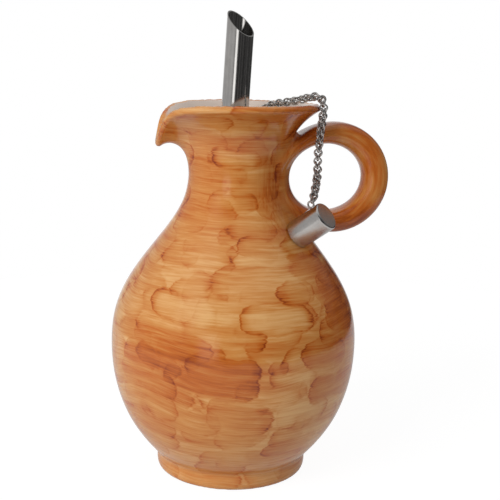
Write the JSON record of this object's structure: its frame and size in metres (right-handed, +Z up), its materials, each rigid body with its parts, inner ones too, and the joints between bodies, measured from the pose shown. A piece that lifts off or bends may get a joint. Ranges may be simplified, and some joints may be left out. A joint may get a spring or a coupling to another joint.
{
  "type": "ceramic oil cruet",
  "caption": "Round-bellied glazed ceramic cruet with a drooping beak, a ring handle, a steel pouring tube in a stopper and a steel cap on a chain.",
  "frame": {"origin": "middle of the jug's foot, on the surface that it stands on", "axes": "+Z up along the jug's axis, +X towards the handle, -X towards the beak"},
  "size_m": [0.1211, 0.108, 0.201],
  "materials": {
    "glaze": "glossy brushed honey-brown glaze outside, white glaze inside",
    "cork": "matt cork",
    "steel": "polished stainless steel"
  },
  "bodies": {
    "root": {"jug": "glaze", "stopper": "cork", "tube": "steel", "collar": "steel", "cap": "steel", "chain": "steel"}
  },
  "joints": []
}
